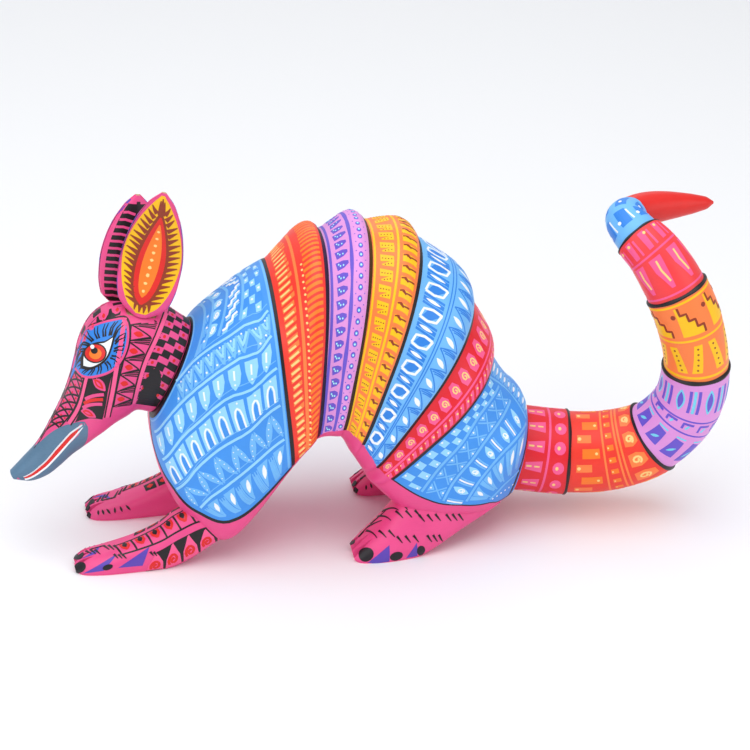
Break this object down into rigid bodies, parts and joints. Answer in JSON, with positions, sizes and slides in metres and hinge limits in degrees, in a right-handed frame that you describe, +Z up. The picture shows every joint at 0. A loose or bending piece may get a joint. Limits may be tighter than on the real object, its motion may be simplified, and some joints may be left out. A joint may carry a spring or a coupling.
{
  "type": "carved animal figure",
  "caption": "Carved and painted wooden armadillo with an arched banded shell, upright ears and a curled tail that plug in on round pegs.",
  "frame": {"origin": "on the ground under the middle of the whole figure, in its length and its width", "axes": "+X from the nose to the tail, +Y towards the animal's right side, +Z up"},
  "size_m": [0.2786, 0.076, 0.1465],
  "materials": {
    "shell_paint": "satin acrylic paint on smooth carved wood",
    "head_paint": "satin acrylic paint on smooth carved wood",
    "leg_paint": "satin acrylic paint on smooth carved wood",
    "ear_paint": "satin acrylic paint on smooth carved wood",
    "tail_paint": "satin acrylic paint on smooth carved wood",
    "tip_paint": "satin acrylic paint on smooth carved wood",
    "bare_wood": "bare sanded wood"
  },
  "bodies": {
    "figure": {"trunk": "shell_paint", "head": "head_paint", "foreleg_left": "leg_paint", "foreleg_right": "leg_paint", "hindleg_left": "leg_paint", "hindleg_right": "leg_paint", "neck_dowel": "bare_wood", "foreleg_dowel_left": "bare_wood", "foreleg_dowel_right": "bare_wood", "hindleg_dowel_left": "bare_wood", "hindleg_dowel_right": "bare_wood"},
    "ear_peg_left": {"ear_peg_left": "bare_wood"},
    "ear_left": {"ear_left": "ear_paint"},
    "ear_peg_right": {"ear_peg_right": "bare_wood"},
    "ear_right": {"ear_right": "ear_paint"},
    "tail_peg": {"tail_peg": "bare_wood"},
    "tail": {"tail": "tail_paint", "tail_tip": "tip_paint", "tail_tip_dowel": "bare_wood"}
  },
  "joints": [
    {"name": "ear_left_pull", "type": "slide", "parent": "figure", "child": "ear_peg_left", "axis": [0.1901, -0.0872, 0.9779], "range_m": [0, 0.012]},
    {"name": "ear_left_turn", "type": "hinge", "parent": "ear_peg_left", "child": "ear_left", "pos_m": [-0.08698, -0.0065, 0.09614], "axis": [0.1901, -0.0872, 0.9779], "range_deg": [-25, 25]},
    {"name": "ear_right_pull", "type": "slide", "parent": "figure", "child": "ear_peg_right", "axis": [0.1564, 0.0174, 0.9875], "range_m": [0, 0.012]},
    {"name": "ear_right_turn", "type": "hinge", "parent": "ear_peg_right", "child": "ear_right", "pos_m": [-0.09246, 0.011, 0.09342], "axis": [0.1564, 0.0174, 0.9875], "range_deg": [-25, 25]},
    {"name": "tail_pull", "type": "slide", "parent": "figure", "child": "tail_peg", "axis": [0.9718, 0, -0.236], "range_m": [0, 0.024]},
    {"name": "tail_turn", "type": "hinge", "parent": "tail_peg", "child": "tail", "pos_m": [0.05845, 0, 0.0279], "axis": [0.9718, 0, -0.236], "range_deg": [-40, 40]}
  ]
}
